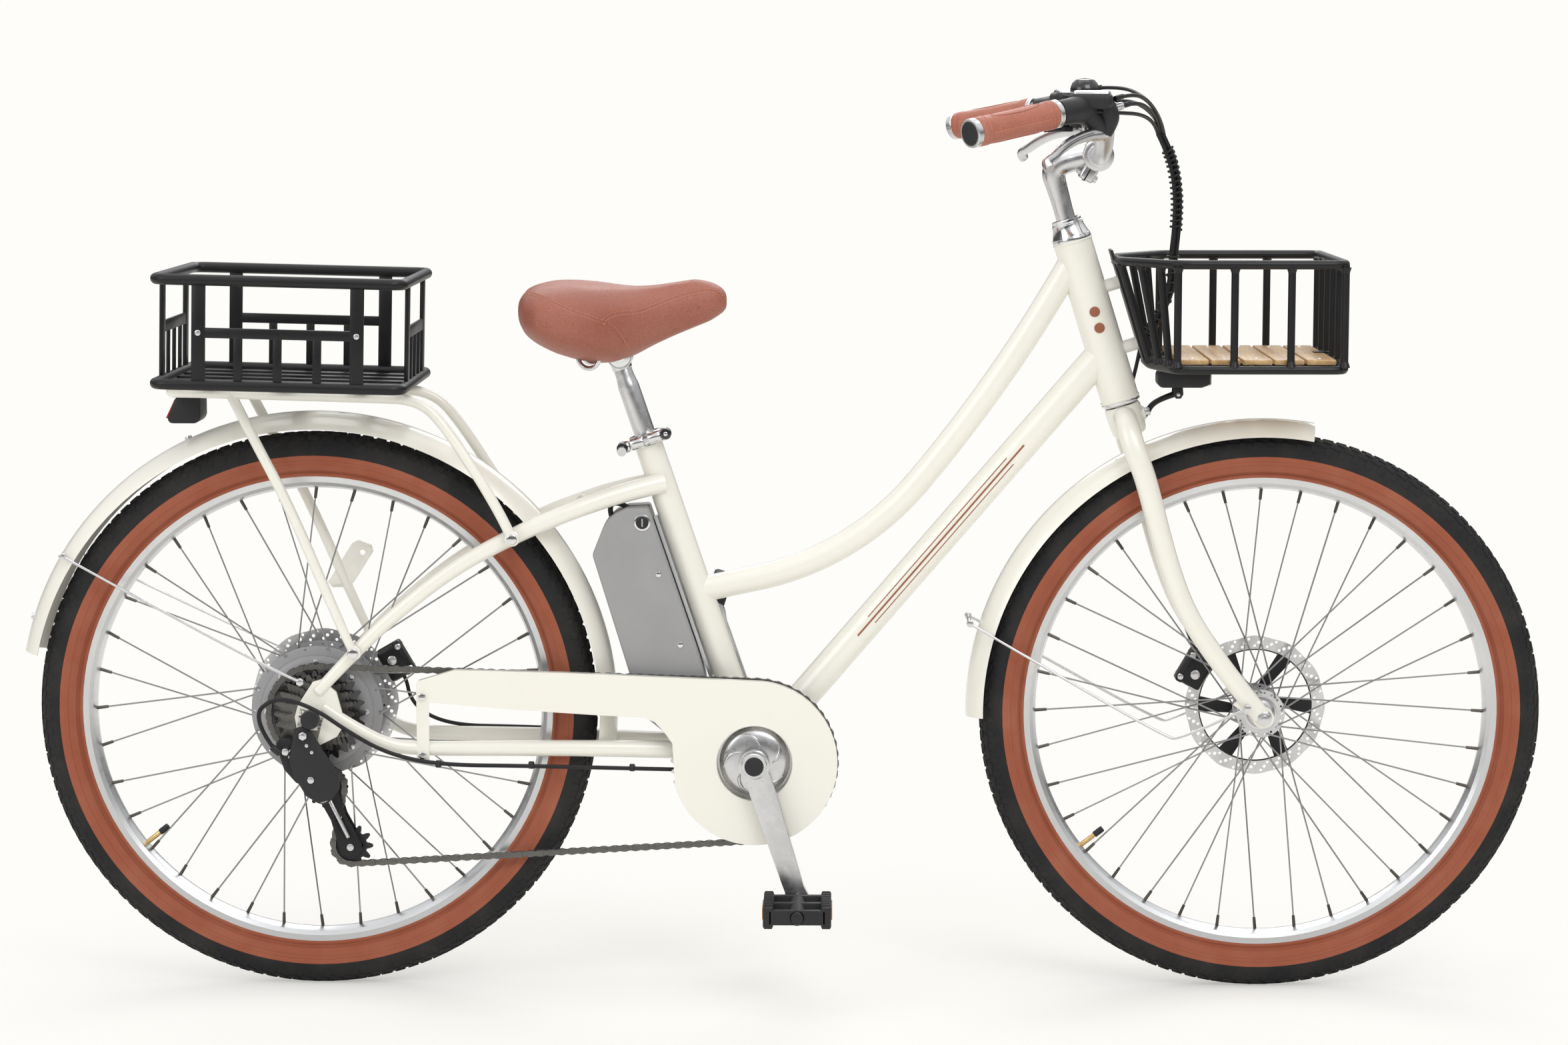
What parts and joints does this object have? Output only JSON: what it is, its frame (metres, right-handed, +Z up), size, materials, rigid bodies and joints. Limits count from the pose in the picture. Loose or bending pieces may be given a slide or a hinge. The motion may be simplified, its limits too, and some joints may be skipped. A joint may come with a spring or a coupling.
{
  "type": "electric city bicycle",
  "caption": "Step-through electric city bicycle with a front basket, a rear rack with a crate, mudguards, disc brakes and a rear hub motor.",
  "frame": {"origin": "on the ground under the middle of the bicycle", "axes": "+X forwards, +Y to the left of the rider, +Z up"},
  "size_m": [1.8232, 0.626, 1.0929],
  "materials": {
    "ivory_paint": "gloss",
    "black_paint": "semi-gloss",
    "polished_alloy": "polished",
    "brushed_alloy": "satin",
    "steel": "bright",
    "chrome": "bright",
    "chain_steel": "oiled",
    "black_plastic": "satin",
    "tan_rubber": "matte",
    "tan_leather": "satin",
    "tan_grip": "satin",
    "battery_shell": "satin",
    "bamboo": "lacquered",
    "cable_rubber": "satin",
    "motor_paint": "satin"
  },
  "bodies": {
    "frame": {"head_tube": "ivory_paint", "headset": "chrome", "down_tube": "ivory_paint", "top_tube": "ivory_paint", "seat_tube": "ivory_paint", "seat_stays": "ivory_paint", "chain_stays": "ivory_paint", "frame_hardware": "chrome", "rear_rack": "ivory_paint", "rear_crate": "black_paint", "tail_light": "black_plastic", "rear_mudguard": "ivory_paint", "chain_guard": "ivory_paint", "battery_rail": "brushed_alloy", "basket_frame": "black_paint", "basket_deck": "bamboo", "rear_caliper": "black_paint", "frame_cables": "cable_rubber", "derailleur_body": "black_plastic", "chain": "chain_steel", "seat_clamp": "polished_alloy"},
    "front_assembly": {"fork": "ivory_paint", "front_mudguard": "ivory_paint", "fork_hardware": "chrome", "front_caliper": "black_paint", "stem": "polished_alloy", "handlebar": "brushed_alloy", "grips": "tan_grip", "control_housings": "black_plastic", "bell": "black_paint", "control_cables": "cable_rubber"},
    "headlight": {"headlight": "black_plastic"},
    "front_wheel": {"front_tyre": "tan_rubber", "front_rim": "brushed_alloy", "front_spokes": "steel", "front_hub": "polished_alloy", "front_rotor": "steel"},
    "rear_wheel": {"rear_tyre": "tan_rubber", "rear_rim": "brushed_alloy", "rear_spokes": "steel", "motor_hub": "motor_paint", "rear_rotor": "steel"},
    "sprockets": {"sprockets": "steel"},
    "crankset": {"crank_right": "polished_alloy", "crank_left": "polished_alloy", "chainring": "polished_alloy"},
    "pedal_right": {"pedal_right": "black_plastic"},
    "pedal_left": {"pedal_left": "black_plastic"},
    "derailleur_cage": {"derailleur_cage": "black_paint"},
    "upper_pulley": {"upper_pulley": "black_plastic"},
    "lower_pulley": {"lower_pulley": "black_plastic"},
    "brake_lever_right": {"brake_lever_right": "polished_alloy"},
    "brake_lever_left": {"brake_lever_left": "polished_alloy"},
    "shift_lever": {"shift_lever": "black_plastic"},
    "bell_striker": {"bell_striker": "black_plastic"},
    "seatpost": {"seatpost": "polished_alloy", "saddle": "tan_leather"},
    "seat_clamp_lever": {"seat_clamp_lever": "polished_alloy"},
    "battery": {"battery": "battery_shell"},
    "battery_lock": {"battery_lock": "black_plastic"}
  },
  "joints": [
    {"name": "steer", "type": "hinge", "parent": "frame", "child": "front_assembly", "pos_m": [0.405, 0, 0.711], "axis": [-0.2957, 0, 0.9553], "range_deg": [-60, 60], "deforming": ["control_cables"]},
    {"name": "front_wheel_spin", "type": "hinge", "parent": "front_assembly", "child": "front_wheel", "pos_m": [0.575, 0, 0.3365], "axis": [0, 1, 0], "continuous": true},
    {"name": "rear_wheel_spin", "type": "hinge", "parent": "frame", "child": "rear_wheel", "pos_m": [-0.558, 0, 0.3365], "axis": [0, 1, 0], "continuous": true},
    {"name": "crank_spin", "type": "hinge", "parent": "frame", "child": "crankset", "pos_m": [-0.031, 0, 0.281], "axis": [0, 1, 0], "continuous": true, "deforming": ["chain"]},
    {"name": "sprocket_spin", "type": "hinge", "parent": "frame", "child": "sprockets", "pos_m": [-0.558, 0, 0.3365], "axis": [0, 1, 0], "continuous": true},
    {"name": "derailleur_swing", "type": "hinge", "parent": "frame", "child": "derailleur_cage", "pos_m": [-0.546, -0.036, 0.247], "axis": [0, 1, 0], "range_deg": [-12, 20], "stiffness_Nm_per_rad": 0.6, "deforming": ["chain"]},
    {"name": "upper_pulley_spin", "type": "hinge", "parent": "derailleur_cage", "child": "upper_pulley", "pos_m": [-0.546, -0.036, 0.247], "axis": [0, 1, 0], "continuous": true},
    {"name": "lower_pulley_spin", "type": "hinge", "parent": "derailleur_cage", "child": "lower_pulley", "pos_m": [-0.517, -0.036, 0.175], "axis": [0, 1, 0], "continuous": true},
    {"name": "pedal_right_spin", "type": "hinge", "parent": "crankset", "child": "pedal_right", "pos_m": [0.02097, -0.13, 0.11914], "axis": [0, 1, 0], "continuous": true},
    {"name": "pedal_left_spin", "type": "hinge", "parent": "crankset", "child": "pedal_left", "pos_m": [-0.08297, 0.13, 0.44286], "axis": [0, 1, 0], "continuous": true},
    {"name": "brake_right_pull", "type": "hinge", "parent": "front_assembly", "child": "brake_lever_right", "pos_m": [0.369, -0.168, 1.03], "axis": [-0.439, 0.4619, -0.7706], "range_deg": [0, 12], "stiffness_Nm_per_rad": 1.5},
    {"name": "brake_left_pull", "type": "hinge", "parent": "front_assembly", "child": "brake_lever_left", "pos_m": [0.369, 0.168, 1.03], "axis": [0.439, 0.4619, 0.7706], "range_deg": [0, 12], "stiffness_Nm_per_rad": 1.5},
    {"name": "shift_press", "type": "hinge", "parent": "front_assembly", "child": "shift_lever", "pos_m": [0.326, -0.186, 1.035], "axis": [0, 0, 1], "range_deg": [0, 20], "stiffness_Nm_per_rad": 0.3},
    {"name": "bell_strike", "type": "hinge", "parent": "front_assembly", "child": "bell_striker", "pos_m": [0.344, -0.129, 1.07], "axis": [0, 0, 1], "range_deg": [0, 20], "stiffness_Nm_per_rad": 0.1},
    {"name": "seatpost_slide", "type": "slide", "parent": "frame", "child": "seatpost", "axis": [-0.3214, 0, 0.9469], "range_m": [-0.05, 0.09]},
    {"name": "seat_clamp_open", "type": "hinge", "parent": "frame", "child": "seat_clamp_lever", "pos_m": [-0.18391, -0.021, 0.65679], "axis": [-0.9469, 0, -0.3214], "range_deg": [0, 90]},
    {"name": "battery_release", "type": "slide", "parent": "frame", "child": "battery", "axis": [0, 1, 0], "range_m": [0, 0.045]},
    {"name": "battery_key_turn", "type": "hinge", "parent": "battery", "child": "battery_lock", "pos_m": [-0.165, -0.033, 0.567], "axis": [0, 1, 0], "range_deg": [0, 90]},
    {"name": "headlight_tilt", "type": "hinge", "parent": "front_assembly", "child": "headlight", "pos_m": [0.473, 0, 0.719], "axis": [0, 1, 0], "range_deg": [-6, 6]}
  ],
  "couplings": [
    {"joint": "sprocket_spin", "follows": "crank_spin", "ratio": 1.7143},
    {"joint": "upper_pulley_spin", "follows": "crank_spin", "ratio": -4.3636},
    {"joint": "lower_pulley_spin", "follows": "crank_spin", "ratio": 4.3636}
  ]
}
